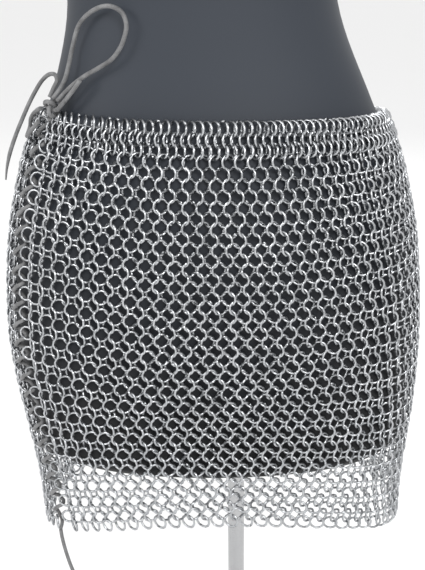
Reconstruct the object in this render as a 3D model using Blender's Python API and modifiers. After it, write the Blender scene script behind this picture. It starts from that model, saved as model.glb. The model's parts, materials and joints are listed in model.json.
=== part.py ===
"""A laced chainmail skirt on a limbless dress form with a round steel stand.

Metres, +Z up, front faces -Y. The origin is the centre of the base plate's underside.
Angles run round the body from the front centre (0) towards +X. A drop is a distance below the
waist line.
"""
import math

import bmesh
import bpy
from mathutils import Vector

OBJECT_NAME = "chainmail_skirt_on_dress_form"

# Heights
WAIST_LEVEL = 0.630          # the waist line, above the floor
TOP_EDGE_DROP = 0.0015       # the skirt's top edge in front
SIDE_DIP = 0.0043            # the top edge is this much lower at the sides
LACING_LIFT = 0.0064         # the lacing pulls the top edge up beside it
LIFT_REACH = math.radians(40)
BACK_DIP = 0.0070            # the top edge is this much lower across the back
BACK_DIP_STARTS = math.radians(72)
BACK_DIP_REACHES = math.radians(120)
BAND_DEPTH = 0.0275          # the dense waistband
BAND_NARROWING = 0.0045      # it is this much less deep at the sides
HEM_DROP_FRONT = 0.360
HEM_DROP_EXTRA_AT_SIDE = 0.0420
FORM_TOP = -0.118            # as a drop: the form's cap is above the waist line
FORM_BOTTOM = 0.322
FORM_TOP_RADIUS = 0.008
FORM_BOTTOM_RADIUS = 0.022

# The dress form's cross sections, each as (drop, value)
HALF_WIDTH = ((-0.130, 0.1065), (-0.085, 0.1080), (-0.055, 0.1145), (0.000, 0.1350), (0.045, 0.1535),
              (0.110, 0.1700), (0.190, 0.1780), (0.250, 0.1765), (0.350, 0.1660), (0.420, 0.1640))
FRONT_DEPTH = ((-0.130, 0.0790), (-0.060, 0.0770), (0.000, 0.0810), (0.045, 0.0900), (0.110, 0.0970),
               (0.200, 0.0960), (0.300, 0.0900), (0.420, 0.0840))
BACK_DEPTH = ((-0.130, 0.0760), (-0.060, 0.0745), (0.000, 0.0810), (0.045, 0.0910), (0.130, 0.1080),
              (0.200, 0.1090), (0.300, 0.1020), (0.420, 0.0940))
SIDE_LEAN = ((-0.130, -0.0125), (-0.050, -0.0065), (0.000, -0.0030), (0.200, -0.0020),
             (0.300, 0.0020), (0.420, 0.0040))
SQUARENESS = 0.02            # third harmonic that fills the ovals' corners out

# The mail
MAIL_CLEARANCE = 0.005       # from the form to the middle of the mail
MAIL_THICKNESS = 0.004
SEAM_GAP = 0.0003
SIDE_SEAM_ANGLE = math.radians(90)
OPENING_ANGLE = math.radians(-64)
OPENING_TURN_AT_HEM = math.radians(6)
OPENING_HALF_GAP = math.radians(2.0)
PANEL_COLUMNS = 34
PANEL_LEVELS = 14
BAND_COLUMNS = 68

# The lace
LACE_DIAMETER = 0.0034
LACE_STAND_OFF = 0.0048      # from the middle of the mail to the middle of the lace
LACE_STEP = 0.010            # between points along a free lace
LACE_SIDES = 2               # bevel resolution of the tubes
CROSSINGS = 44
CROSSING_REACH = math.radians(4.0)
FIRST_CROSSING_DROP = 0.0095
LAST_CROSSING_DROP = 0.3765
RUN_END_DROP = 0.3825
KNOT_CENTRE = (-0.1292, -0.0539, 0.6343)
KNOT_RADII = (0.0068, 0.0055, 0.0060)
BOW_LOOP_ROUTE = (
    (-0.1262, -0.0564, 0.6418), (-0.1203, -0.0549, 0.6488), (-0.1160, -0.0534, 0.6568),
    (-0.1124, -0.0529, 0.6678), (-0.1088, -0.0524, 0.6808), (-0.1022, -0.0579, 0.6973),
    (-0.0907, -0.0654, 0.7078), (-0.0782, -0.0724, 0.7118), (-0.0682, -0.0759, 0.7078),
    (-0.0647, -0.0774, 0.6988), (-0.0667, -0.0769, 0.6893), (-0.0707, -0.0764, 0.6808),
    (-0.0777, -0.0749, 0.6728), (-0.0882, -0.0719, 0.6663), (-0.0987, -0.0679, 0.6603),
    (-0.1072, -0.0644, 0.6543), (-0.1142, -0.0619, 0.6483), (-0.1197, -0.0599, 0.6428),
    (-0.1222, -0.0589, 0.6403))
SHORT_END_ROUTE = (
    (-0.1227, -0.0621, 0.6333), (-0.1187, -0.0642, 0.6378), (-0.1137, -0.0666, 0.6433),
    (-0.1077, -0.0691, 0.6503), (-0.1022, -0.0711, 0.6573))
TOP_TAIL_ROUTE = (
    (-0.1302, -0.0469, 0.6413), (-0.1267, -0.0461, 0.6483), (-0.1240, -0.0444, 0.6538),
    (-0.1260, -0.0404, 0.6580), (-0.1317, -0.0359, 0.6573), (-0.1382, -0.0324, 0.6518),
    (-0.1447, -0.0302, 0.6428), (-0.1507, -0.0289, 0.6328), (-0.1562, -0.0282, 0.6223),
    (-0.1617, -0.0277, 0.6113), (-0.1664, -0.0273, 0.6008), (-0.1704, -0.0270, 0.5903),
    (-0.1734, -0.0269, 0.5793), (-0.1750, -0.0269, 0.5698))
HEM_TAIL_ROUTE = (
    (-0.1468, -0.0532, 0.2425), (-0.1458, -0.0540, 0.2330), (-0.1432, -0.0555, 0.2200),
    (-0.1395, -0.0575, 0.2065), (-0.1345, -0.0600, 0.1925), (-0.1300, -0.0620, 0.1780),
    (-0.1275, -0.0635, 0.1620), (-0.1265, -0.0645, 0.1450), (-0.1265, -0.0650, 0.1280),
    (-0.1270, -0.0650, 0.1120))
EDGE_WRAP_ROUTE = (
    (-0.1377, -0.0489, 0.6328), (-0.1422, -0.0419, 0.6298), (-0.1467, -0.0339, 0.6258),
    (-0.1502, -0.0274, 0.6203), (-0.1517, -0.0249, 0.6138), (-0.1536, -0.0300, 0.6080),
    (-0.1512, -0.0396, 0.6096), (-0.1458, -0.0482, 0.6160), (-0.1392, -0.0541, 0.6233))

# The stand
PLATE_RADIUS = 0.140
PLATE_THICKNESS = 0.007
PLATE_EDGE = 0.0015
POLE_X = 0.018               # the pole stands a little to one side
POLE_RADIUS = 0.008
COLLAR_RADIUS = 0.016
COLLAR_HEIGHT = 0.028
FLANGE_RADIUS = 0.030
FLANGE_THICKNESS = 0.005
FORM_SEGMENTS = 64


def value_at(table, drop):
    """Read a smooth curve through a table's points."""
    last = len(table) - 1
    k = 0
    while k < last - 1 and drop > table[k + 1][0]:
        k += 1

    def slope(i):
        low, high = table[max(i - 1, 0)], table[min(i + 1, last)]
        return (high[1] - low[1]) / (high[0] - low[0])

    (x0, y0), (x1, y1) = table[k], table[k + 1]
    width = x1 - x0
    u = (drop - x0) / width
    rise = u * u * (3 - 2 * u)
    start_pull = u * (1 - u) ** 2 * width * slope(k)
    end_pull = u * u * (u - 1) * width * slope(k + 1)
    return y0 + (y1 - y0) * rise + start_pull + end_pull


def body_point(angle, drop, out=0.0):
    """A point on the form's section at this drop, moved out (or in) by a distance."""
    depth = value_at(FRONT_DEPTH if math.cos(angle) > 0 else BACK_DEPTH, drop) + out
    half_width = value_at(HALF_WIDTH, drop) + out
    across = (math.sin(angle) + SQUARENESS * math.sin(3 * angle)) / (1 - SQUARENESS)
    along = (math.cos(angle) - SQUARENESS * math.cos(3 * angle)) / (1 - SQUARENESS)
    return Vector((value_at(SIDE_LEAN, drop) + half_width * across, -depth * along, WAIST_LEVEL - drop))


def top_edge(angle):
    turn = (angle - OPENING_ANGLE + math.pi) % (2 * math.pi) - math.pi
    lift = LACING_LIFT * math.exp(-(turn / LIFT_REACH) ** 2)
    from_front = abs((angle + math.pi) % (2 * math.pi) - math.pi)
    share = (from_front - BACK_DIP_STARTS) / (BACK_DIP_REACHES - BACK_DIP_STARTS)
    share = min(1.0, max(0.0, share))
    dip = BACK_DIP * share * share * (3 - 2 * share)
    return TOP_EDGE_DROP + SIDE_DIP * math.sin(angle) ** 2 - lift + dip


def band_lower_edge(angle):
    return top_edge(angle) + BAND_DEPTH - BAND_NARROWING * math.sin(angle) ** 2


def panel_top_edge(angle):
    return band_lower_edge(angle) + SEAM_GAP


def hem_edge(angle):
    return HEM_DROP_FRONT + HEM_DROP_EXTRA_AT_SIDE * math.sin(angle) ** 2


def opening_angle(drop):
    """The lacing line: straight down the side, turning forwards near the hem."""
    return OPENING_ANGLE + OPENING_TURN_AT_HEM * (drop / hem_edge(OPENING_ANGLE)) ** 4


def front_of_opening(drop):
    return opening_angle(drop) + OPENING_HALF_GAP


def back_of_opening(drop):
    return opening_angle(drop) - OPENING_HALF_GAP + 2 * math.pi


def side_seam(gap_side):
    half_gap = SEAM_GAP / 2 / value_at(BACK_DEPTH, 0.1)
    return SIDE_SEAM_ANGLE + gap_side * half_gap


def add_object(name, mesh, material):
    piece = bpy.data.objects.new(name, mesh)
    parts.objects.link(piece)
    mesh.materials.append(material)
    return piece


def finish(name, color, roughness, metallic):
    material = bpy.data.materials.new(name)
    material.use_nodes = True
    shader = material.node_tree.nodes["Principled BSDF"]
    shader.inputs["Base Color"].default_value = (*color, 1)
    shader.inputs["Roughness"].default_value = roughness
    shader.inputs["Metallic"].default_value = metallic
    return material


def cloth_wall(name, start, end, upper, lower, columns, levels):
    """A sheet of mail between two side edges and two level edges, thickened both ways."""
    bm = bmesh.new()
    grid = []
    for level in range(levels + 1):
        share = level / levels
        row = []
        for column in range(columns + 1):
            drop = HEM_DROP_FRONT * share
            angle = start(drop) + (end(drop) - start(drop)) * column / columns
            # The edges' drops depend on the angle, and their angles on the drop: three rounds settle both.
            for _ in range(3):
                drop = upper(angle) + (lower(angle) - upper(angle)) * share
                angle = start(drop) + (end(drop) - start(drop)) * column / columns
            row.append(bm.verts.new(body_point(angle, drop, MAIL_CLEARANCE)))
        grid.append(row)
    for above, below in zip(grid, grid[1:]):
        for column in range(columns):
            bm.faces.new((above[column], below[column], below[column + 1], above[column + 1]))
    mesh = bpy.data.meshes.new(name)
    bm.to_mesh(mesh)
    bm.free()
    mesh.shade_smooth()
    piece = add_object(name, mesh, finish(name, (0.62, 0.63, 0.64), 0.35, 1.0))
    wall = piece.modifiers.new("wall", "SOLIDIFY")
    wall.thickness = MAIL_THICKNESS
    wall.offset = 0
    wall.use_even_offset = True
    return piece


def mail_panels():
    cloth_wall("mail_front", front_of_opening, lambda drop: side_seam(-1), panel_top_edge, hem_edge,
               PANEL_COLUMNS, PANEL_LEVELS)
    cloth_wall("mail_back", lambda drop: side_seam(1), back_of_opening, panel_top_edge, hem_edge,
               PANEL_COLUMNS, PANEL_LEVELS)
    cloth_wall("waistband", front_of_opening, back_of_opening, top_edge, band_lower_edge,
               BAND_COLUMNS, 2)


def form_levels():
    """Drops and insets of the form's sections, with both ends rounded."""
    levels = []
    for step in range(5):
        turn = math.radians(90 * step / 4)
        levels.append((FORM_TOP + FORM_TOP_RADIUS * (1 - math.sin(turn)),
                       FORM_TOP_RADIUS * (1 - math.cos(turn))))
    levels.reverse()
    start, end = FORM_TOP + FORM_TOP_RADIUS, FORM_BOTTOM - FORM_BOTTOM_RADIUS
    spans = 20
    levels += [(start + (end - start) * k / spans, 0.0) for k in range(1, spans)]
    for step in range(7):
        turn = math.radians(90 * step / 6)
        levels.append((end + FORM_BOTTOM_RADIUS * math.sin(turn),
                       FORM_BOTTOM_RADIUS * (1 - math.cos(turn))))
    return sorted(levels)


def dress_form():
    bm = bmesh.new()
    rings = []
    for drop, inset in form_levels():
        rings.append([bm.verts.new(body_point(2 * math.pi * k / FORM_SEGMENTS, drop, -inset))
                      for k in range(FORM_SEGMENTS)])
    for above, below in zip(rings, rings[1:]):
        for k in range(FORM_SEGMENTS):
            after = (k + 1) % FORM_SEGMENTS
            bm.faces.new((above[k], below[k], below[after], above[after]))
    bm.faces.new(rings[0])
    bm.faces.new(reversed(rings[-1]))
    mesh = bpy.data.meshes.new("dress_form")
    bm.to_mesh(mesh)
    bm.free()
    mesh.shade_smooth()
    mesh.set_sharp_from_angle(angle=math.radians(40))
    add_object("dress_form", mesh, finish("dress_form", (0.035, 0.037, 0.042), 0.45, 0.0))


def smooth_route(route, step):
    """Points a step apart along a smooth curve through a route's own points."""
    points = [Vector(p) for p in route]
    fine = []
    for k in range(len(points) - 1):
        before, after = points[max(k - 1, 0)], points[min(k + 2, len(points) - 1)]
        start, end = points[k], points[k + 1]
        for i in range(12):
            u = i / 12
            fine.append(0.5 * (2 * start + (end - before) * u
                               + (2 * before - 5 * start + 4 * end - after) * u ** 2
                               + (3 * start - before - 3 * end + after) * u ** 3))
    fine.append(points[-1])
    length = sum((b - a).length for a, b in zip(fine, fine[1:]))
    spans = max(2, round(length / step))
    spaced = [fine[0]]
    travelled = 0.0
    for a, b in zip(fine, fine[1:]):
        travelled += (b - a).length
        if travelled >= len(spaced) * length / spans - 1e-9 and len(spaced) < spans:
            spaced.append(b)
    spaced.append(fine[-1])
    return spaced


def lace_tube(name, points):
    curve = bpy.data.curves.new(name, "CURVE")
    curve.dimensions = "3D"
    curve.bevel_depth = LACE_DIAMETER / 2
    curve.bevel_resolution = LACE_SIDES
    curve.use_fill_caps = True
    spline = curve.splines.new("POLY")
    spline.points.add(len(points) - 1)
    for point, place in zip(spline.points, points):
        point.co = (*place, 1)
    add_object(name, curve, finish(name, (0.30, 0.30, 0.31), 0.6, 0.0))


def lace_run():
    """The held lace: it crosses the opening from edge to edge, down to the hem."""
    points = [Vector(KNOT_CENTRE) + Vector((-0.0010, -0.0015, -0.0085))]
    for k in range(CROSSINGS + 1):
        drop = FIRST_CROSSING_DROP + (LAST_CROSSING_DROP - FIRST_CROSSING_DROP) * k / CROSSINGS
        side = 1 if k % 2 == 0 else -1
        points.append(body_point(opening_angle(drop) + side * CROSSING_REACH, drop,
                                 MAIL_CLEARANCE + LACE_STAND_OFF))
        if k < CROSSINGS:
            middle = drop + (LAST_CROSSING_DROP - FIRST_CROSSING_DROP) / CROSSINGS / 2
            points.append(body_point(opening_angle(middle), middle, MAIL_CLEARANCE + LACE_STAND_OFF))
    points.append(body_point(opening_angle(RUN_END_DROP), RUN_END_DROP, MAIL_CLEARANCE + LACE_STAND_OFF))
    lace_tube("lace_run", points)


def bow_knot():
    bm = bmesh.new()
    bmesh.ops.create_uvsphere(bm, u_segments=16, v_segments=10, radius=1.0)
    bmesh.ops.scale(bm, vec=KNOT_RADII, verts=bm.verts)
    bmesh.ops.translate(bm, vec=KNOT_CENTRE, verts=bm.verts)
    mesh = bpy.data.meshes.new("bow_knot")
    bm.to_mesh(mesh)
    bm.free()
    mesh.shade_smooth()
    add_object("bow_knot", mesh, finish("bow_knot", (0.30, 0.30, 0.31), 0.6, 0.0))


def free_laces():
    for name, route in (("bow_loop", BOW_LOOP_ROUTE), ("lace_short_end", SHORT_END_ROUTE),
                        ("lace_tail_top", TOP_TAIL_ROUTE), ("lace_tail_hem", HEM_TAIL_ROUTE),
                        ("lace_edge_wrap", EDGE_WRAP_ROUTE)):
        lace_tube(name, smooth_route(route, LACE_STEP))


def steel_round(name, radius, bottom, height, x, edge=0.0):
    bm = bmesh.new()
    bmesh.ops.create_cone(bm, cap_ends=True, segments=64 if radius > 0.05 else 32,
                          radius1=radius, radius2=radius, depth=height)
    mesh = bpy.data.meshes.new(name)
    bm.to_mesh(mesh)
    bm.free()
    mesh.shade_smooth()
    mesh.set_sharp_from_angle(angle=math.radians(35))
    piece = add_object(name, mesh, finish(name, (0.55, 0.56, 0.57), 0.3, 1.0))
    piece.location = (x, 0, bottom + height / 2)
    if edge:
        bevel = piece.modifiers.new("edge", "BEVEL")
        bevel.width = edge
        bevel.segments = 2
        bevel.limit_method = "ANGLE"


def stand():
    plate_top = PLATE_THICKNESS
    form_underside = WAIST_LEVEL - FORM_BOTTOM
    flange_bottom = form_underside - SEAM_GAP - FLANGE_THICKNESS
    collar_top = plate_top + SEAM_GAP + COLLAR_HEIGHT
    steel_round("base_plate", PLATE_RADIUS, 0.0, PLATE_THICKNESS, 0.0, PLATE_EDGE)
    steel_round("pole_collar", COLLAR_RADIUS, plate_top + SEAM_GAP, COLLAR_HEIGHT, POLE_X, PLATE_EDGE)
    steel_round("stand_pole", POLE_RADIUS, collar_top + SEAM_GAP,
                flange_bottom - collar_top - 2 * SEAM_GAP, POLE_X)
    steel_round("form_flange", FLANGE_RADIUS, flange_bottom, FLANGE_THICKNESS, POLE_X, PLATE_EDGE / 2)


for old in list(bpy.data.objects):
    bpy.data.objects.remove(old, do_unlink=True)
parts = bpy.data.collections.new(OBJECT_NAME)
bpy.context.scene.collection.children.link(parts)
mail_panels()
dress_form()
lace_run()
bow_knot()
free_laces()
stand()
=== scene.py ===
"""A laced chainmail skirt on its dress form and stand, finished piece by piece.

Metres, +Z up, the skirt's front faces -Y. Angles run round the body from the front centre towards
+X, and a drop is a distance below the waist line.
"""
import json
import math
import random

import bpy
import numpy as np
from mathutils import Matrix, Quaternion, Vector

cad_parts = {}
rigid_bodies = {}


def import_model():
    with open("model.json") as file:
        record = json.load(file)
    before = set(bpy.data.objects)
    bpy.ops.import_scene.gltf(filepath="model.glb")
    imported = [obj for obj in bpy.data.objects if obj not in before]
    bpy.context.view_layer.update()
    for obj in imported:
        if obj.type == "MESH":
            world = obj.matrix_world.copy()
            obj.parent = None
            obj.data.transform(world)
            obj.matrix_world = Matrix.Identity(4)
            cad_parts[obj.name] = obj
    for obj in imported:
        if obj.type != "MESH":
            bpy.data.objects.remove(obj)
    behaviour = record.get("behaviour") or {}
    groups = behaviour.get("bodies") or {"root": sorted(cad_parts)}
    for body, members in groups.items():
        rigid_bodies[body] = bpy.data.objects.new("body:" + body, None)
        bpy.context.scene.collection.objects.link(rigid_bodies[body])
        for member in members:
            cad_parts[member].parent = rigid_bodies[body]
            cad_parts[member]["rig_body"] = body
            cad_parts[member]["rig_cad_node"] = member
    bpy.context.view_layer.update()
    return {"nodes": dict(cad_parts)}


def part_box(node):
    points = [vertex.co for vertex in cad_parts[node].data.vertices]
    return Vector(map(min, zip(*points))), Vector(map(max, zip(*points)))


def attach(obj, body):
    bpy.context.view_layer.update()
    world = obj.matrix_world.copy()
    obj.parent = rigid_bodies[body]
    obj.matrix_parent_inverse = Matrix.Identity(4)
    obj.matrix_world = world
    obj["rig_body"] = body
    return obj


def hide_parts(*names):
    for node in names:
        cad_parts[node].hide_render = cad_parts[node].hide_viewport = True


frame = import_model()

# ------------------------------------------------------------------ camera
# Close in front of the skirt and a little above its waist, looking down at it, so that the top
# edge and the hem both curve and the hips come out wide.
waist_level = 0.630
camera_place = (-0.003, -0.796, waist_level + 0.130)
look_down = math.radians(20.4)
camera_roll = math.radians(-0.6)

camera_data = bpy.data.cameras.new("camera")
camera_data.sensor_width = 36
camera_data.lens = 59.4
camera = bpy.data.objects.new("camera", camera_data)
bpy.context.scene.collection.objects.link(camera)
camera.location = camera_place
camera.rotation_mode = "QUATERNION"
camera.rotation_quaternion = (Quaternion((1, 0, 0), math.pi / 2 - look_down)
                              @ Quaternion((0, 0, 1), camera_roll))
bpy.context.scene.camera = camera

# ------------------------------------------------------------------ floor and light
# A white studio floor that runs out to the horizon, a white surround, and large soft lamps that
# put long highlights on the wire.
bpy.ops.object.select_all(action="DESELECT")
bpy.ops.mesh.primitive_plane_add(size=80, location=(0, 0, 0))
floor = bpy.context.active_object
floor.name = "floor"
floor_paint = bpy.data.materials.new("floor_paint")
floor_paint.use_nodes = True
floor_shader = floor_paint.node_tree.nodes["Principled BSDF"]
floor_shader.inputs["Base Color"].default_value = (0.86, 0.86, 0.86, 1)
floor_shader.inputs["Roughness"].default_value = 0.9
floor.data.materials.append(floor_paint)

world = bpy.data.worlds.new("white_studio")
world.use_nodes = True
world.node_tree.nodes["Background"].inputs["Color"].default_value = (1.0, 1.0, 1.0, 1)
world.node_tree.nodes["Background"].inputs["Strength"].default_value = 1.0
bpy.context.scene.world = world
bpy.context.scene.view_settings.view_transform = "Standard"


def soft_lamp(name, place, aim, size, power):
    lamp_data = bpy.data.lights.new(name, "AREA")
    lamp_data.shape = "DISK"
    lamp_data.size = size
    lamp_data.energy = power
    lamp = bpy.data.objects.new(name, lamp_data)
    bpy.context.scene.collection.objects.link(lamp)
    lamp.location = place
    lamp.rotation_mode = "QUATERNION"
    lamp.rotation_quaternion = (Vector(aim) - Vector(place)).to_track_quat("-Z", "Y")


soft_lamp("front_lamp", (0.5, -1.9, 1.9), (0, 0, 0.45), 0.7, 34)
soft_lamp("side_lamp", (-1.7, -1.1, 1.3), (0, 0, 0.45), 0.8, 12)
soft_lamp("back_lamp", (0.6, 1.8, 1.8), (0, 0, 0.45), 1.0, 14)

# ------------------------------------------------------------------ free lace
# The two ends of one round leather lace, dry and grey. At the waistband it is tied in a slip bow
# with one loop, one short end and one long tail. Below the hem its other end hangs free.
lace_diameter = 0.0034
lace_step = 0.002
lace_tip = 0.35
knot_centre = Vector((-0.1292, -0.0539, 0.6343))
bow_loop_route = (
    (-0.1262, -0.0564, 0.6418), (-0.1203, -0.0549, 0.6488), (-0.1160, -0.0534, 0.6568),
    (-0.1124, -0.0529, 0.6678), (-0.1088, -0.0524, 0.6808), (-0.1022, -0.0579, 0.6973),
    (-0.0907, -0.0654, 0.7078), (-0.0782, -0.0724, 0.7118), (-0.0682, -0.0759, 0.7078),
    (-0.0647, -0.0774, 0.6988), (-0.0667, -0.0769, 0.6893), (-0.0707, -0.0764, 0.6808),
    (-0.0777, -0.0749, 0.6728), (-0.0882, -0.0719, 0.6663), (-0.0987, -0.0679, 0.6603),
    (-0.1072, -0.0644, 0.6543), (-0.1142, -0.0619, 0.6483), (-0.1197, -0.0599, 0.6428),
    (-0.1222, -0.0589, 0.6403))
short_end_route = (
    (-0.1227, -0.0621, 0.6333), (-0.1187, -0.0642, 0.6378), (-0.1137, -0.0666, 0.6433),
    (-0.1077, -0.0691, 0.6503), (-0.1022, -0.0711, 0.6573))
top_tail_route = (
    (-0.1302, -0.0469, 0.6413), (-0.1267, -0.0461, 0.6483), (-0.1240, -0.0444, 0.6538),
    (-0.1260, -0.0404, 0.6580), (-0.1317, -0.0359, 0.6573), (-0.1382, -0.0324, 0.6518),
    (-0.1447, -0.0302, 0.6428), (-0.1507, -0.0289, 0.6328), (-0.1562, -0.0282, 0.6223),
    (-0.1617, -0.0277, 0.6113), (-0.1664, -0.0273, 0.6008), (-0.1704, -0.0270, 0.5903),
    (-0.1734, -0.0269, 0.5793), (-0.1750, -0.0269, 0.5698))
hem_tail_route = (
    (-0.1468, -0.0532, 0.2425), (-0.1458, -0.0540, 0.2330), (-0.1432, -0.0555, 0.2200),
    (-0.1395, -0.0575, 0.2065), (-0.1345, -0.0600, 0.1925), (-0.1300, -0.0620, 0.1780),
    (-0.1275, -0.0635, 0.1620), (-0.1265, -0.0645, 0.1450), (-0.1265, -0.0650, 0.1280),
    (-0.1270, -0.0650, 0.1120))
edge_wrap_route = (
    (-0.1377, -0.0489, 0.6328), (-0.1422, -0.0419, 0.6298), (-0.1467, -0.0339, 0.6258),
    (-0.1502, -0.0274, 0.6203), (-0.1517, -0.0249, 0.6138), (-0.1536, -0.0300, 0.6080),
    (-0.1512, -0.0396, 0.6096), (-0.1458, -0.0482, 0.6160), (-0.1392, -0.0541, 0.6233))


def node_in(material, kind, **inputs):
    node = material.node_tree.nodes.new(kind)
    for name, value in inputs.items():
        node.inputs[name.replace("_", " ")].default_value = value
    return node


def lace_leather():
    material = bpy.data.materials.new("grey_lace_leather")
    material.use_nodes = True
    links = material.node_tree.links
    shader = material.node_tree.nodes["Principled BSDF"]
    shader.inputs["Roughness"].default_value = 0.6
    shader.inputs["Sheen Weight"].default_value = 0.12
    place = node_in(material, "ShaderNodeTexCoord")
    grain = node_in(material, "ShaderNodeTexNoise", Scale=900.0, Detail=4.0)
    wear = node_in(material, "ShaderNodeTexNoise", Scale=110.0, Detail=3.0)
    mixed = node_in(material, "ShaderNodeMath")
    mixed.operation = "MULTIPLY_ADD"
    mixed.inputs[1].default_value = 0.45
    tint = node_in(material, "ShaderNodeValToRGB")
    tint.color_ramp.elements[0].position = 0.4
    tint.color_ramp.elements[0].color = (0.040, 0.040, 0.041, 1)
    tint.color_ramp.elements[1].position = 0.9
    tint.color_ramp.elements[1].color = (0.165, 0.166, 0.169, 1)
    bump = node_in(material, "ShaderNodeBump", Strength=0.4, Distance=0.0003)
    links.new(place.outputs["Object"], grain.inputs["Vector"])
    links.new(place.outputs["Object"], wear.inputs["Vector"])
    links.new(grain.outputs["Fac"], mixed.inputs[0])
    links.new(wear.outputs["Fac"], mixed.inputs[2])
    links.new(mixed.outputs[0], tint.inputs["Fac"])
    links.new(tint.outputs["Color"], shader.inputs["Base Color"])
    links.new(grain.outputs["Fac"], bump.inputs["Height"])
    links.new(bump.outputs["Normal"], shader.inputs["Normal"])
    return material


lace_finish = lace_leather()


def smooth_route(route):
    """Points a lace step apart on a smooth curve through a route's own points."""
    points = [Vector(p) for p in route]
    fine = []
    for k in range(len(points) - 1):
        before, after = points[max(k - 1, 0)], points[min(k + 2, len(points) - 1)]
        start, end = points[k], points[k + 1]
        count = max(2, round((end - start).length / lace_step))
        for i in range(count):
            u = i / count
            fine.append(0.5 * (2 * start + (end - before) * u
                               + (2 * before - 5 * start + 4 * end - after) * u ** 2
                               + (3 * start - before - 3 * end + after) * u ** 3))
    fine.append(points[-1])
    return fine


def lace_tube(name, node, points, closed=False, tapered_end=0):
    curve = bpy.data.curves.new(name, "CURVE")
    curve.dimensions = "3D"
    curve.bevel_depth = lace_diameter / 2
    curve.bevel_resolution = 4
    curve.use_fill_caps = True
    spline = curve.splines.new("POLY")
    spline.points.add(len(points) - 1)
    for k, (point, place) in enumerate(zip(spline.points, points)):
        point.co = (*place, 1)
        left = len(points) - 1 - k
        if left < tapered_end:
            point.radius = lace_tip + (1 - lace_tip) * left / tapered_end
    spline.use_cyclic_u = closed
    spline.use_smooth = True
    lace = bpy.data.objects.new(name, curve)
    bpy.context.scene.collection.objects.link(lace)
    curve.materials.append(lace_finish)
    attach(lace, "root")
    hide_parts(node)
    return lace


def free_lace(name, node, route, tapered_end=0):
    points = smooth_route(route)
    lace = lace_tube(name, node, points, tapered_end=tapered_end)


free_lace("bow_loop_lace", "bow_loop", bow_loop_route)
free_lace("short_end_lace", "lace_short_end", short_end_route)
free_lace("top_tail_lace", "lace_tail_top", top_tail_route, tapered_end=12)
free_lace("hem_tail_lace", "lace_tail_hem", hem_tail_route, tapered_end=4)

# The slip knot is pulled tight, and is made as one small closed overhand knot. From it the lace
# goes once round the corner of the waistband.
knot_steps = 72
knot_size = 0.0023
knot_depth = 1.5
knot_shift = Vector((0.0024, -0.0008, 0.0006))
knot_points = []
for k in range(knot_steps):
    turn = 2 * math.pi * k / knot_steps
    knot_points.append(knot_centre + knot_shift + knot_size * Vector((
        math.sin(turn) + 2 * math.sin(2 * turn), -knot_depth * math.sin(3 * turn),
        math.cos(turn) - 2 * math.cos(2 * turn))))
lace_tube("bow_knot_lace", "bow_knot", knot_points, closed=True)
lace_tube("edge_wrap_lace", "lace_edge_wrap", smooth_route(edge_wrap_route))

# ------------------------------------------------------------------ side lacing
# The same lace, held between the skirt's two edges from the knot down to the hem. It comes out
# through a ring of the front edge, crosses outside to the back edge, and goes back inside.
# The body's ovals at each drop: half width, depth in front, depth behind, and a slight lean of
# the centre line. The mail lies a fixed distance outside them.
half_widths = ((-0.130, 0.1065), (-0.085, 0.1080), (-0.055, 0.1145), (0.000, 0.1350), (0.045, 0.1535),
               (0.110, 0.1700), (0.190, 0.1780), (0.250, 0.1765), (0.350, 0.1660), (0.420, 0.1640))
front_depths = ((-0.130, 0.0790), (-0.060, 0.0770), (0.000, 0.0810), (0.045, 0.0900),
                (0.110, 0.0970), (0.200, 0.0960), (0.300, 0.0900), (0.420, 0.0840))
back_depths = ((-0.130, 0.0760), (-0.060, 0.0745), (0.000, 0.0810), (0.045, 0.0910),
               (0.130, 0.1080), (0.200, 0.1090), (0.300, 0.1020), (0.420, 0.0940))
side_lean = ((-0.130, -0.0125), (-0.050, -0.0065), (0.000, -0.0030), (0.200, -0.0020),
             (0.300, 0.0020), (0.420, 0.0040))
squareness = 0.02
mail_clearance = 0.005
opening_base_angle = math.radians(-64)
opening_turn_at_hem = math.radians(6)
hem_drop_at_opening = 0.3939
crossings = 44
crossing_reach = math.radians(3.1)
steep_share = 0.35
first_crossing_drop, last_crossing_drop = 0.0095, 0.3765
edge_ring_lift, outside_lift, inside_lift = 0.0004, 0.0038, -0.0028
run_end_drop = 0.3790
run_start_shift = Vector((-0.0010, -0.0015, -0.0085))
run_end_shift = Vector((0, 0, 0.0005))


def value_at(table, x):
    """Read a smooth curve through a table's points."""
    last = len(table) - 1
    k = 0
    while k < last - 1 and x > table[k + 1][0]:
        k += 1

    def slope(i):
        low, high = table[max(i - 1, 0)], table[min(i + 1, last)]
        return (high[1] - low[1]) / (high[0] - low[0])

    (x0, y0), (x1, y1) = table[k], table[k + 1]
    width = x1 - x0
    u = (x - x0) / width
    return (y0 + (y1 - y0) * u * u * (3 - 2 * u) + u * (1 - u) ** 2 * width * slope(k)
            + u * u * (u - 1) * width * slope(k + 1))


def mail_point(angle, drop, out=0.0):
    """A point on the middle of the mail, moved out by a distance."""
    depth = value_at(front_depths if math.cos(angle) > 0 else back_depths, drop)
    across = (math.sin(angle) + squareness * math.sin(3 * angle)) / (1 - squareness)
    along = (math.cos(angle) - squareness * math.cos(3 * angle)) / (1 - squareness)
    reach = mail_clearance + out
    return Vector((value_at(side_lean, drop) + (value_at(half_widths, drop) + reach) * across,
                   -(depth + reach) * along, waist_level - drop))


def opening_angle(drop):
    return opening_base_angle + opening_turn_at_hem * (drop / hem_drop_at_opening) ** 4


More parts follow.
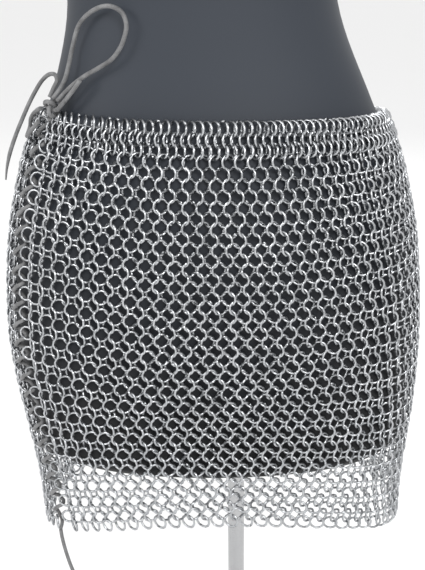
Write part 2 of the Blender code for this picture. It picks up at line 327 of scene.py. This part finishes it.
run_points = [knot_centre + run_start_shift]
crossing_step = (last_crossing_drop - first_crossing_drop) / crossings
ring_drops = [first_crossing_drop + crossing_step * (k + steep_share * (k % 2))
              for k in range(crossings)]
for k, (upper, lower) in enumerate(zip(ring_drops, ring_drops[1:])):
    outside = k % 2 == 0
    side = 1 if outside else -1
    run_points.append(mail_point(opening_angle(upper) + side * crossing_reach, upper, edge_ring_lift))
    for share in (0.25, 0.5, 0.75):
        drop = upper + (lower - upper) * share
        run_points.append(mail_point(opening_angle(drop) + side * (1 - 2 * share) * crossing_reach,
                                     drop, outside_lift if outside else inside_lift))
run_points.append(mail_point(opening_angle(ring_drops[-1]) - crossing_reach, ring_drops[-1],
                             edge_ring_lift))
run_points.append(mail_point(opening_angle(run_end_drop), run_end_drop, edge_ring_lift))
run_points.append(Vector(hem_tail_route[0]) + run_end_shift)
lace_tube("side_lacing", "lace_run", smooth_route(run_points))

# ------------------------------------------------------------------ mail rings
# Butted rings of tumbled aluminium wire. Each row leans one way and the next leans the other,
# set out as in a four-in-one weave.
wire_radius = 0.00105
ring_radius = 0.0060
ring_sides = 5
ring_steps = 12
ring_gap = math.radians(3)
lean_shake, nod_shake = math.radians(1.6), math.radians(2.0)
place_shake = 0.00016
size_shake = 0.015
middle_tone, tone_shake = 0.5, 0.22
slope_step = 0.002
row_samples = 360


def wire_metal():
    material = bpy.data.materials.new("tumbled_aluminium_wire")
    material.use_nodes = True
    links = material.node_tree.links
    shader = material.node_tree.nodes["Principled BSDF"]
    shader.inputs["Metallic"].default_value = 1.0
    tone = node_in(material, "ShaderNodeAttribute")
    tone.attribute_name = "tone"
    place = node_in(material, "ShaderNodeTexCoord")
    scuff = node_in(material, "ShaderNodeTexNoise", Scale=420.0, Detail=5.0)
    tint = node_in(material, "ShaderNodeValToRGB")
    tint.color_ramp.elements[0].color = (0.33, 0.34, 0.352, 1)
    tint.color_ramp.elements[1].color = (0.51, 0.52, 0.535, 1)
    rough = node_in(material, "ShaderNodeMapRange", From_Min=0.3, From_Max=0.7, To_Min=0.22,
                    To_Max=0.40)
    bump = node_in(material, "ShaderNodeBump", Strength=0.15, Distance=0.0001)
    links.new(tone.outputs["Fac"], tint.inputs["Fac"])
    links.new(place.outputs["Object"], scuff.inputs["Vector"])
    links.new(tint.outputs["Color"], shader.inputs["Base Color"])
    links.new(scuff.outputs["Fac"], rough.inputs["Value"])
    links.new(rough.outputs["Result"], shader.inputs["Roughness"])
    links.new(scuff.outputs["Fac"], bump.inputs["Height"])
    links.new(bump.outputs["Normal"], shader.inputs["Normal"])
    return material


def one_ring():
    """A wire section swept round almost a whole turn, with its two cut ends butted."""
    bpy.ops.object.select_all(action="DESELECT")
    bpy.ops.mesh.primitive_circle_add(vertices=ring_sides, radius=wire_radius, fill_type="NGON",
                                      location=(ring_radius, 0, 0), rotation=(math.pi / 2, 0, 0))
    ring = bpy.context.active_object
    ring.name = "ring"
    bpy.ops.object.transform_apply(location=True, rotation=True, scale=True)
    bpy.ops.object.mode_set(mode="EDIT")
    bpy.ops.mesh.select_all(action="SELECT")
    bpy.ops.mesh.duplicate()
    bpy.ops.mesh.delete(type="ONLY_FACE")
    bpy.ops.mesh.select_all(action="SELECT")
    bpy.ops.mesh.remove_doubles(threshold=0.00001)
    bpy.ops.mesh.select_all(action="SELECT")
    bpy.ops.mesh.spin(steps=ring_steps, angle=2 * math.pi - ring_gap, center=(0, 0, 0),
                      axis=(0, 0, 1))
    bpy.ops.mesh.select_all(action="SELECT")
    bpy.ops.mesh.normals_make_consistent(inside=False)
    bpy.ops.object.mode_set(mode="OBJECT")
    bpy.ops.object.shade_smooth()
    ring.data.materials.append(wire_metal())
    return ring


ring = one_ring()


def scatter_tool():
    """Copies the ring to every point, turned and sized by the point's own attributes."""
    group = bpy.data.node_groups.new("rings_on_points", "GeometryNodeTree")
    group.interface.new_socket("Geometry", in_out="INPUT", socket_type="NodeSocketGeometry")
    group.interface.new_socket("Geometry", in_out="OUTPUT", socket_type="NodeSocketGeometry")
    nodes, links = group.nodes, group.links
    start = nodes.new("NodeGroupInput")
    end = nodes.new("NodeGroupOutput")
    shape = nodes.new("GeometryNodeObjectInfo")
    shape.inputs["Object"].default_value = ring
    turn = nodes.new("GeometryNodeInputNamedAttribute")
    turn.data_type = "FLOAT_VECTOR"
    turn.inputs["Name"].default_value = "turn"
    to_rotation = nodes.new("FunctionNodeEulerToRotation")
    size = nodes.new("GeometryNodeInputNamedAttribute")
    size.inputs["Name"].default_value = "size"
    copies = nodes.new("GeometryNodeInstanceOnPoints")
    real = nodes.new("GeometryNodeRealizeInstances")
    links.new(start.outputs[0], copies.inputs["Points"])
    links.new(shape.outputs["Geometry"], copies.inputs["Instance"])
    links.new(turn.outputs["Attribute"], to_rotation.inputs[0])
    links.new(to_rotation.outputs[0], copies.inputs["Rotation"])
    links.new(size.outputs["Attribute"], copies.inputs["Scale"])
    links.new(copies.outputs[0], real.inputs[0])
    links.new(real.outputs[0], end.inputs[0])
    return group


scatter = scatter_tool()
shake = random.Random(41)


def place_ring(angle, drop, lean):
    """The centre, turn, size and tone of a ring; its side towards +X in front comes out by the lean."""
    ahead, behind_it = mail_point(angle + slope_step, drop), mail_point(angle - slope_step, drop)
    below, above = mail_point(angle, drop + slope_step), mail_point(angle, drop - slope_step)
    around = (ahead - behind_it).normalized()
    down = (below - above).normalized()
    out = down.cross(around).normalized()
    lean += shake.gauss(0, lean_shake)
    nod = shake.gauss(0, nod_shake)
    side = around * math.cos(lean) + out * math.sin(lean)
    face = out * math.cos(lean) - around * math.sin(lean)
    basis = Matrix((side, face.cross(side), face)).transposed()
    turn = (Quaternion(side, nod).to_matrix() @ basis
            @ Matrix.Rotation(shake.uniform(0, 2 * math.pi), 3, "Z"))
    drift = around * shake.gauss(0, place_shake) + down * shake.gauss(0, place_shake)
    return (mail_point(angle, drop) + drift, turn.to_euler(),
            shake.uniform(1 - size_shake, 1 + size_shake),
            min(1.0, max(0.0, shake.gauss(middle_tone, tone_shake))))


def row_angles(drop_of, count, offset, stretch_of, margin):
    """Ring angles for one row, from the opening's front edge round to its back edge."""
    first = opening_angle(drop_of(opening_base_angle))
    angles = np.linspace(first, first + 2 * math.pi, row_samples + 1)
    points = [mail_point(a, drop_of(a)) for a in angles]
    run = [0.0]
    for k in range(row_samples):
        middle = (angles[k] + angles[k + 1]) / 2
        run.append(run[-1] + (points[k + 1] - points[k]).length / stretch_of(middle))
    pitch = (run[-1] - 2 * margin) / (count - 0.5)
    return [float(np.interp(margin + pitch * (j + offset), run, angles)) for j in range(count)]


def mail_piece(name, rings, node):
    """Rings joined into one mesh."""
    cloud = bpy.data.meshes.new(name)
    cloud.from_pydata([r[0] for r in rings], [], [])
    turn = cloud.attributes.new("turn", "FLOAT_VECTOR", "POINT")
    turn.data.foreach_set("vector", [v for r in rings for v in r[1]])
    size = cloud.attributes.new("size", "FLOAT", "POINT")
    size.data.foreach_set("value", [r[2] for r in rings])
    tone = cloud.attributes.new("tone", "FLOAT", "POINT")
    tone.data.foreach_set("value", [r[3] for r in rings])
    piece = bpy.data.objects.new(name, cloud)
    bpy.context.scene.collection.objects.link(piece)
    bpy.ops.object.select_all(action="DESELECT")
    piece.select_set(True)
    bpy.context.view_layer.objects.active = piece
    piece.modifiers.new("rings", "NODES").node_group = scatter
    bpy.ops.object.modifier_apply(modifier="rings")
    bpy.ops.object.shade_smooth()
    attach(piece, "root")
    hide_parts(node)
    return piece


lacing_reach = math.radians(40)


def near_lacing(angle):
    """1 on the lacing, falling to nothing well away from it."""
    turn = (angle - opening_base_angle + math.pi) % (2 * math.pi) - math.pi
    return math.exp(-(turn / lacing_reach) ** 2)


# How much wider than average a row's pitch is, at the waist and at the hem: beside the lacing, in
# front against the back, and on the side away from the lacing.
lacing_stretch = (0.06, 0.22)
front_stretch = (-0.07, 0.12)
side_stretch = (-0.11, 0.14)
twofold_stretch = 0.03


def between(ends, share):
    return ends[0] + (ends[1] - ends[0]) * share


def row_stretch(share):
    """The pitch at an angle against the row's average, at a share of the way down the skirt."""
    lacing, front = between(lacing_stretch, share), between(front_stretch, share)
    side = between(side_stretch, share)
    return lambda angle: (1 + twofold_stretch * math.cos(2 * angle) + lacing * near_lacing(angle)
                          + front * math.cos(angle) + side * math.sin(angle))


# ------------------------------------------------------------------ waistband
# Three rows of the same rings, three to every two of the body's, so that they stand on edge and
# close up. The lace is knotted at their corner and pulls it up.
band_rows = 3
band_row_rings = 117
band_lean = math.radians(50)
band_edge_margin = 0.0078
top_edge_drop = 0.0015
side_dip = 0.0043
lacing_lift = 0.0064
back_dip = 0.0070
back_dip_starts, back_dip_reaches = math.radians(72), math.radians(120)
half_ring = 0.0068
band_row_gap = 0.00823
gap_less_at_side = 0.0014


def behind(angle):
    """How much lower the top edge is across the back."""
    from_front = abs((angle + math.pi) % (2 * math.pi) - math.pi)
    share = (from_front - back_dip_starts) / (back_dip_reaches - back_dip_starts)
    share = min(1.0, max(0.0, share))
    return back_dip * share * share * (3 - 2 * share)


def band_drop(row):
    def drop(angle):
        sideways = math.sin(angle) ** 2
        top = (top_edge_drop + side_dip * sideways - lacing_lift * near_lacing(angle)
               + behind(angle))
        return top + half_ring + row * (band_row_gap - gap_less_at_side * sideways)
    return drop


band_rings = []
for row in range(band_rows):
    drop_of = band_drop(row)
    lean = band_lean if row % 2 == 0 else -band_lean
    for angle in row_angles(drop_of, band_row_rings, 0.5 * (row % 2),
                            row_stretch(0), band_edge_margin):
        band_rings.append(place_ring(angle, drop_of(angle), lean))
waistband = mail_piece("waistband_mail", band_rings, "waistband")

# ------------------------------------------------------------------ skirt body
# One sheet of mail, forty-two rows deep and open down one side. Its lattice is tall at the waist
# and opens to squares over the hips, and its rows sag in front and rise towards the lacing.
body_rows = 42
body_row_rings = 78
upper_rows = 21
row_leans = ((0, 32), (8, 28), (41, 25))        # row and lean in degrees
first_row_drop = 0.033
row_gap = 0.0075
slack_under_band, slack_rows = 0.0125, 8
hem_side_fall = 0.042
hip_side_rise = 0.0155
hip_lacing_rise = 0.010
lacing_lift_at_hem = 0.001
back_dip_fades_by = 14
edge_margin = 0.0090
seam_angle = math.pi / 2


def over_hips(share):
    """1 over the hips, a third of the way down, and nothing at the waist and the hem."""
    peak = 4 / 27
    return 1 / peak * share * (1 - share) ** 2


def body_drop(row):
    share = row / (body_rows - 1)
    front = first_row_drop + row_gap * row + slack_under_band * (1 - math.exp(-row / slack_rows))
    fall = hem_side_fall * share - hip_side_rise * over_hips(share)
    lift = between((lacing_lift, lacing_lift_at_hem), share) + hip_lacing_rise * over_hips(share)
    fade = max(0, 1 - row / back_dip_fades_by)
    return lambda angle: (front + fall * math.sin(angle) ** 2 - lift * near_lacing(angle)
                          + fade * behind(angle))


quarters = {name: [] for name in ("front_upper", "front_lower", "back_upper", "back_lower")}
for row in range(body_rows):
    drop_of = body_drop(row)
    lean = math.radians(value_at(row_leans, row)) * (-1 if row % 2 == 0 else 1)
    stretch_of = row_stretch(row / (body_rows - 1))
    for angle in row_angles(drop_of, body_row_rings, 0.5 * (row % 2), stretch_of, edge_margin):
        side = "front" if angle < seam_angle else "back"
        half = "upper" if row < upper_rows else "lower"
        quarters[f"{side}_{half}"].append(place_ring(angle, drop_of(angle), lean))
for name, rings in quarters.items():
    piece = mail_piece(f"mail_{name}", rings, f"mail_{name.split('_')[0]}")
bpy.data.objects.remove(ring)


# ------------------------------------------------------------------ dress form
# A hollow moulded form of charcoal plastic, waist to thigh, with no limbs and rounded rims. The
# middle of the mail lies 5 mm outside it. Painted shade makes it near black low down, where the mail
# covers it, and lighter above.
# Heights over which the painted shade on the form fades from near black to the lighter grey.
painted_shade_from, painted_shade_to = 0.36, 0.66


def form_plastic_with_painted_shade():
    material = bpy.data.materials.new("charcoal_form_plastic_painted_shade")
    material.use_nodes = True
    links = material.node_tree.links
    shader = material.node_tree.nodes["Principled BSDF"]
    shader.inputs["Specular IOR Level"].default_value = 0.3
    place = node_in(material, "ShaderNodeTexCoord")
    cloudy = node_in(material, "ShaderNodeTexNoise", Scale=9.0, Detail=4.0)
    fine = node_in(material, "ShaderNodeTexNoise", Scale=700.0, Detail=2.0)
    tint = node_in(material, "ShaderNodeValToRGB")
    tint.color_ramp.elements[0].position = 0.3
    tint.color_ramp.elements[0].color = (0.0030, 0.0032, 0.0040, 1)
    tint.color_ramp.elements[1].position = 0.75
    tint.color_ramp.elements[1].color = (0.0060, 0.0065, 0.0080, 1)
    # Painted shade by height: the near black tint low down, where the mail covers the form, mixed up to
    # a lighter charcoal grey above the waist.
    split = node_in(material, "ShaderNodeSeparateXYZ")
    height = node_in(material, "ShaderNodeMapRange", From_Min=painted_shade_from, From_Max=painted_shade_to)
    painted_shade_mix = node_in(material, "ShaderNodeMix")
    painted_shade_mix.data_type = "RGBA"
    painted_shade_mix.inputs[7].default_value = (0.0260, 0.0310, 0.0400, 1)
    rough = node_in(material, "ShaderNodeMapRange", To_Min=0.44, To_Max=0.60)
    bump = node_in(material, "ShaderNodeBump", Strength=0.08, Distance=0.0002)
    links.new(place.outputs["Object"], cloudy.inputs["Vector"])
    links.new(place.outputs["Object"], fine.inputs["Vector"])
    links.new(cloudy.outputs["Fac"], tint.inputs["Fac"])
    links.new(place.outputs["Object"], split.inputs[0])
    links.new(split.outputs["Z"], height.inputs["Value"])
    links.new(height.outputs["Result"], painted_shade_mix.inputs[0])
    links.new(tint.outputs["Color"], painted_shade_mix.inputs[6])
    links.new(painted_shade_mix.outputs[2], shader.inputs["Base Color"])
    links.new(cloudy.outputs["Fac"], rough.inputs["Value"])
    links.new(rough.outputs["Result"], shader.inputs["Roughness"])
    links.new(fine.outputs["Fac"], bump.inputs["Height"])
    links.new(bump.outputs["Normal"], shader.inputs["Normal"])
    return material


bpy.ops.object.select_all(action="DESELECT")
form_node = frame["nodes"]["dress_form"]
form = form_node.copy()
form.data = form_node.data.copy()
form.name = "moulded_form"
form.parent = None
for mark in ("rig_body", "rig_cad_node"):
    if mark in form:
        del form[mark]
bpy.context.scene.collection.objects.link(form)
form.select_set(True)
bpy.context.view_layer.objects.active = form
bpy.ops.object.mode_set(mode="EDIT")
bpy.ops.mesh.select_all(action="SELECT")
bpy.ops.mesh.remove_doubles(threshold=0.00001)
bpy.ops.mesh.tris_convert_to_quads(face_threshold=math.radians(25), shape_threshold=math.radians(60))
bpy.ops.object.mode_set(mode="OBJECT")
rounder = form.modifiers.new("rounder", "SUBSURF")
rounder.levels = 1
rounder.render_levels = 1
bpy.ops.object.modifier_apply(modifier="rounder")
bpy.ops.object.shade_smooth()
form.data.materials.clear()
form.data.materials.append(form_plastic_with_painted_shade())
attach(form, "root")
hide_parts("dress_form")


# ------------------------------------------------------------------ stand
# A round steel plate, a collar with a set screw, a round tube, and a flange screwed to the
# form's underside. All four are turned or drawn steel with the marks of the lathe left on.
def turned_steel(name, tone, lines_around):
    """Steel with fine turning marks: rings about the middle, or bands across the height."""
    material = bpy.data.materials.new(name)
    material.use_nodes = True
    links = material.node_tree.links
    shader = material.node_tree.nodes["Principled BSDF"]
    shader.inputs["Metallic"].default_value = 1.0
    place = node_in(material, "ShaderNodeTexCoord")
    split = node_in(material, "ShaderNodeSeparateXYZ")
    flat = node_in(material, "ShaderNodeCombineXYZ")
    radius = node_in(material, "ShaderNodeVectorMath")
    radius.operation = "LENGTH"
    marks = node_in(material, "ShaderNodeTexNoise", Scale=2600.0, Detail=3.0)
    marks.noise_dimensions = "1D"
    cloudy = node_in(material, "ShaderNodeTexNoise", Scale=14.0, Detail=4.0)
    tint = node_in(material, "ShaderNodeValToRGB")
    tint.color_ramp.elements[0].position = 0.3
    tint.color_ramp.elements[0].color = (tone * 0.86, tone * 0.87, tone * 0.89, 1)
    tint.color_ramp.elements[1].position = 0.7
    tint.color_ramp.elements[1].color = (tone * 1.08, tone * 1.08, tone * 1.09, 1)
    rough = node_in(material, "ShaderNodeMapRange", From_Min=0.3, From_Max=0.7, To_Min=0.20,
                    To_Max=0.38)
    bump = node_in(material, "ShaderNodeBump", Strength=0.06, Distance=0.0001)
    links.new(place.outputs["Object"], split.inputs[0])
    links.new(place.outputs["Object"], cloudy.inputs["Vector"])
    links.new(split.outputs["X"], flat.inputs["X"])
    links.new(split.outputs["Y"], flat.inputs["Y"])
    links.new(flat.outputs[0], radius.inputs[0])
    links.new(radius.outputs["Value"] if lines_around else split.outputs["Z"], marks.inputs["W"])
    links.new(cloudy.outputs["Fac"], tint.inputs["Fac"])
    links.new(tint.outputs["Color"], shader.inputs["Base Color"])
    links.new(marks.outputs["Fac"], rough.inputs["Value"])
    links.new(rough.outputs["Result"], shader.inputs["Roughness"])
    links.new(marks.outputs["Fac"], bump.inputs["Height"])
    links.new(bump.outputs["Normal"], shader.inputs["Normal"])
    return material


plate_steel = turned_steel("turned_plate_steel", 0.40, True)
tube_steel = turned_steel("drawn_tube_steel", 0.42, False)


def steel_blank(name, low, high, sides):
    """A cylinder that fills a node's box, left in object mode with no face selected."""
    bpy.ops.object.select_all(action="DESELECT")
    bpy.ops.mesh.primitive_cylinder_add(vertices=sides, radius=(high.x - low.x) / 2,
                                        depth=high.z - low.z, location=(low + high) / 2)
    blank = bpy.context.active_object
    blank.name = name
    bpy.ops.object.transform_apply(location=True, rotation=True, scale=True)
    bpy.ops.object.mode_set(mode="EDIT")
    bpy.ops.mesh.select_all(action="DESELECT")
    bpy.ops.object.mode_set(mode="OBJECT")
    return blank


def pick_end(blank, up):
    """Select only the blank's end face that looks up or down, and go to edit mode."""
    bpy.ops.object.mode_set(mode="OBJECT")
    ends = [face for face in blank.data.polygons if face.normal.z * up > 0.9]
    outermost = max(ends, key=lambda face: face.center.z * up)
    for face in blank.data.polygons:
        face.select = face.index == outermost.index
    bpy.ops.object.mode_set(mode="EDIT")
    bpy.ops.mesh.select_mode(type="FACE")


def finish_steel(piece, node, steel, edge):
    bpy.ops.object.mode_set(mode="OBJECT")
    rounding = piece.modifiers.new("edge", "BEVEL")
    rounding.width = edge
    rounding.segments = 3
    rounding.limit_method = "ANGLE"
    bpy.ops.object.modifier_apply(modifier="edge")
    bpy.ops.object.shade_smooth_by_angle(angle=math.radians(30))
    piece.data.materials.append(steel)
    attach(piece, "root")
    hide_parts(node)


plate_rim = 0.007
plate_step = 0.0008
plate_dish = 0.0006
plate = steel_blank("turned_base_plate", *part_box("base_plate"), 160)
pick_end(plate, 1)
bpy.ops.mesh.inset(thickness=plate_rim)
bpy.ops.mesh.inset(thickness=plate_step, depth=-plate_dish)
finish_steel(plate, "base_plate", plate_steel, edge=0.0012)

collar_step = 0.003
collar_recess = 0.0008
collar = steel_blank("pole_collar_steel", *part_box("pole_collar"), 64)
pick_end(collar, 1)
bpy.ops.mesh.inset(thickness=collar_step)
bpy.ops.mesh.extrude_region_move(TRANSFORM_OT_translate={"value": (0, 0, -collar_recess)})
finish_steel(collar, "pole_collar", tube_steel, edge=0.0008)

pole = steel_blank("stand_pole_tube", *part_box("stand_pole"), 64)
finish_steel(pole, "stand_pole", tube_steel, edge=0.0006)

flange_rim = 0.004
flange_recess = 0.0006
flange = steel_blank("form_flange_steel", *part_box("form_flange"), 64)
pick_end(flange, -1)
bpy.ops.mesh.inset(thickness=flange_rim)
bpy.ops.mesh.extrude_region_move(TRANSFORM_OT_translate={"value": (0, 0, flange_recess)})
finish_steel(flange, "form_flange", tube_steel, edge=0.0007)

# Button-head socket screws: one through the collar's side, three up through the flange.
screw_radius = 0.0032
screw_head = 0.0022
socket_depth = 0.0014
socket_rim = 0.55 * screw_radius
head_rounding = 0.0004
head_centre_out = 0.3 * screw_head
flange_screw_inset = 0.010


def socket_screw(name, place, along):
    bpy.ops.object.select_all(action="DESELECT")
    bpy.ops.mesh.primitive_cylinder_add(vertices=24, radius=screw_radius, depth=screw_head)
    screw = bpy.context.active_object
    screw.name = name
    pick_end(screw, 1)
    bpy.ops.mesh.inset(thickness=socket_rim)
    bpy.ops.mesh.extrude_region_move(TRANSFORM_OT_translate={"value": (0, 0, -socket_depth)})
    bpy.ops.object.mode_set(mode="OBJECT")
    screw.rotation_mode = "QUATERNION"
    screw.rotation_quaternion = Vector((0, 0, 1)).rotation_difference(along)
    screw.location = place + along * head_centre_out
    bpy.ops.object.transform_apply(location=True, rotation=True, scale=True)
    rounding = screw.modifiers.new("edge", "BEVEL")
    rounding.width = head_rounding
    rounding.segments = 2
    rounding.limit_method = "ANGLE"
    bpy.ops.object.modifier_apply(modifier="edge")
    bpy.ops.object.shade_smooth_by_angle(angle=math.radians(30))
    screw.data.materials.append(tube_steel)
    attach(screw, "root")


collar_low, collar_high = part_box("pole_collar")
collar_middle = (collar_low + collar_high) / 2
socket_screw("collar_set_screw", Vector((collar_middle.x, collar_low.y, collar_middle.z)),
             Vector((0, -1, 0)))
flange_low, flange_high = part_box("form_flange")
flange_middle = (flange_low + flange_high) / 2
for k in range(3):
    turn = math.radians(90 + 120 * k)
    reach = (flange_high.x - flange_low.x) / 2 - flange_screw_inset
    socket_screw(f"flange_screw_{k + 1}",
                 Vector((flange_middle.x + reach * math.cos(turn),
                         flange_middle.y + reach * math.sin(turn), flange_low.z)),
                 Vector((0, 0, -1)))
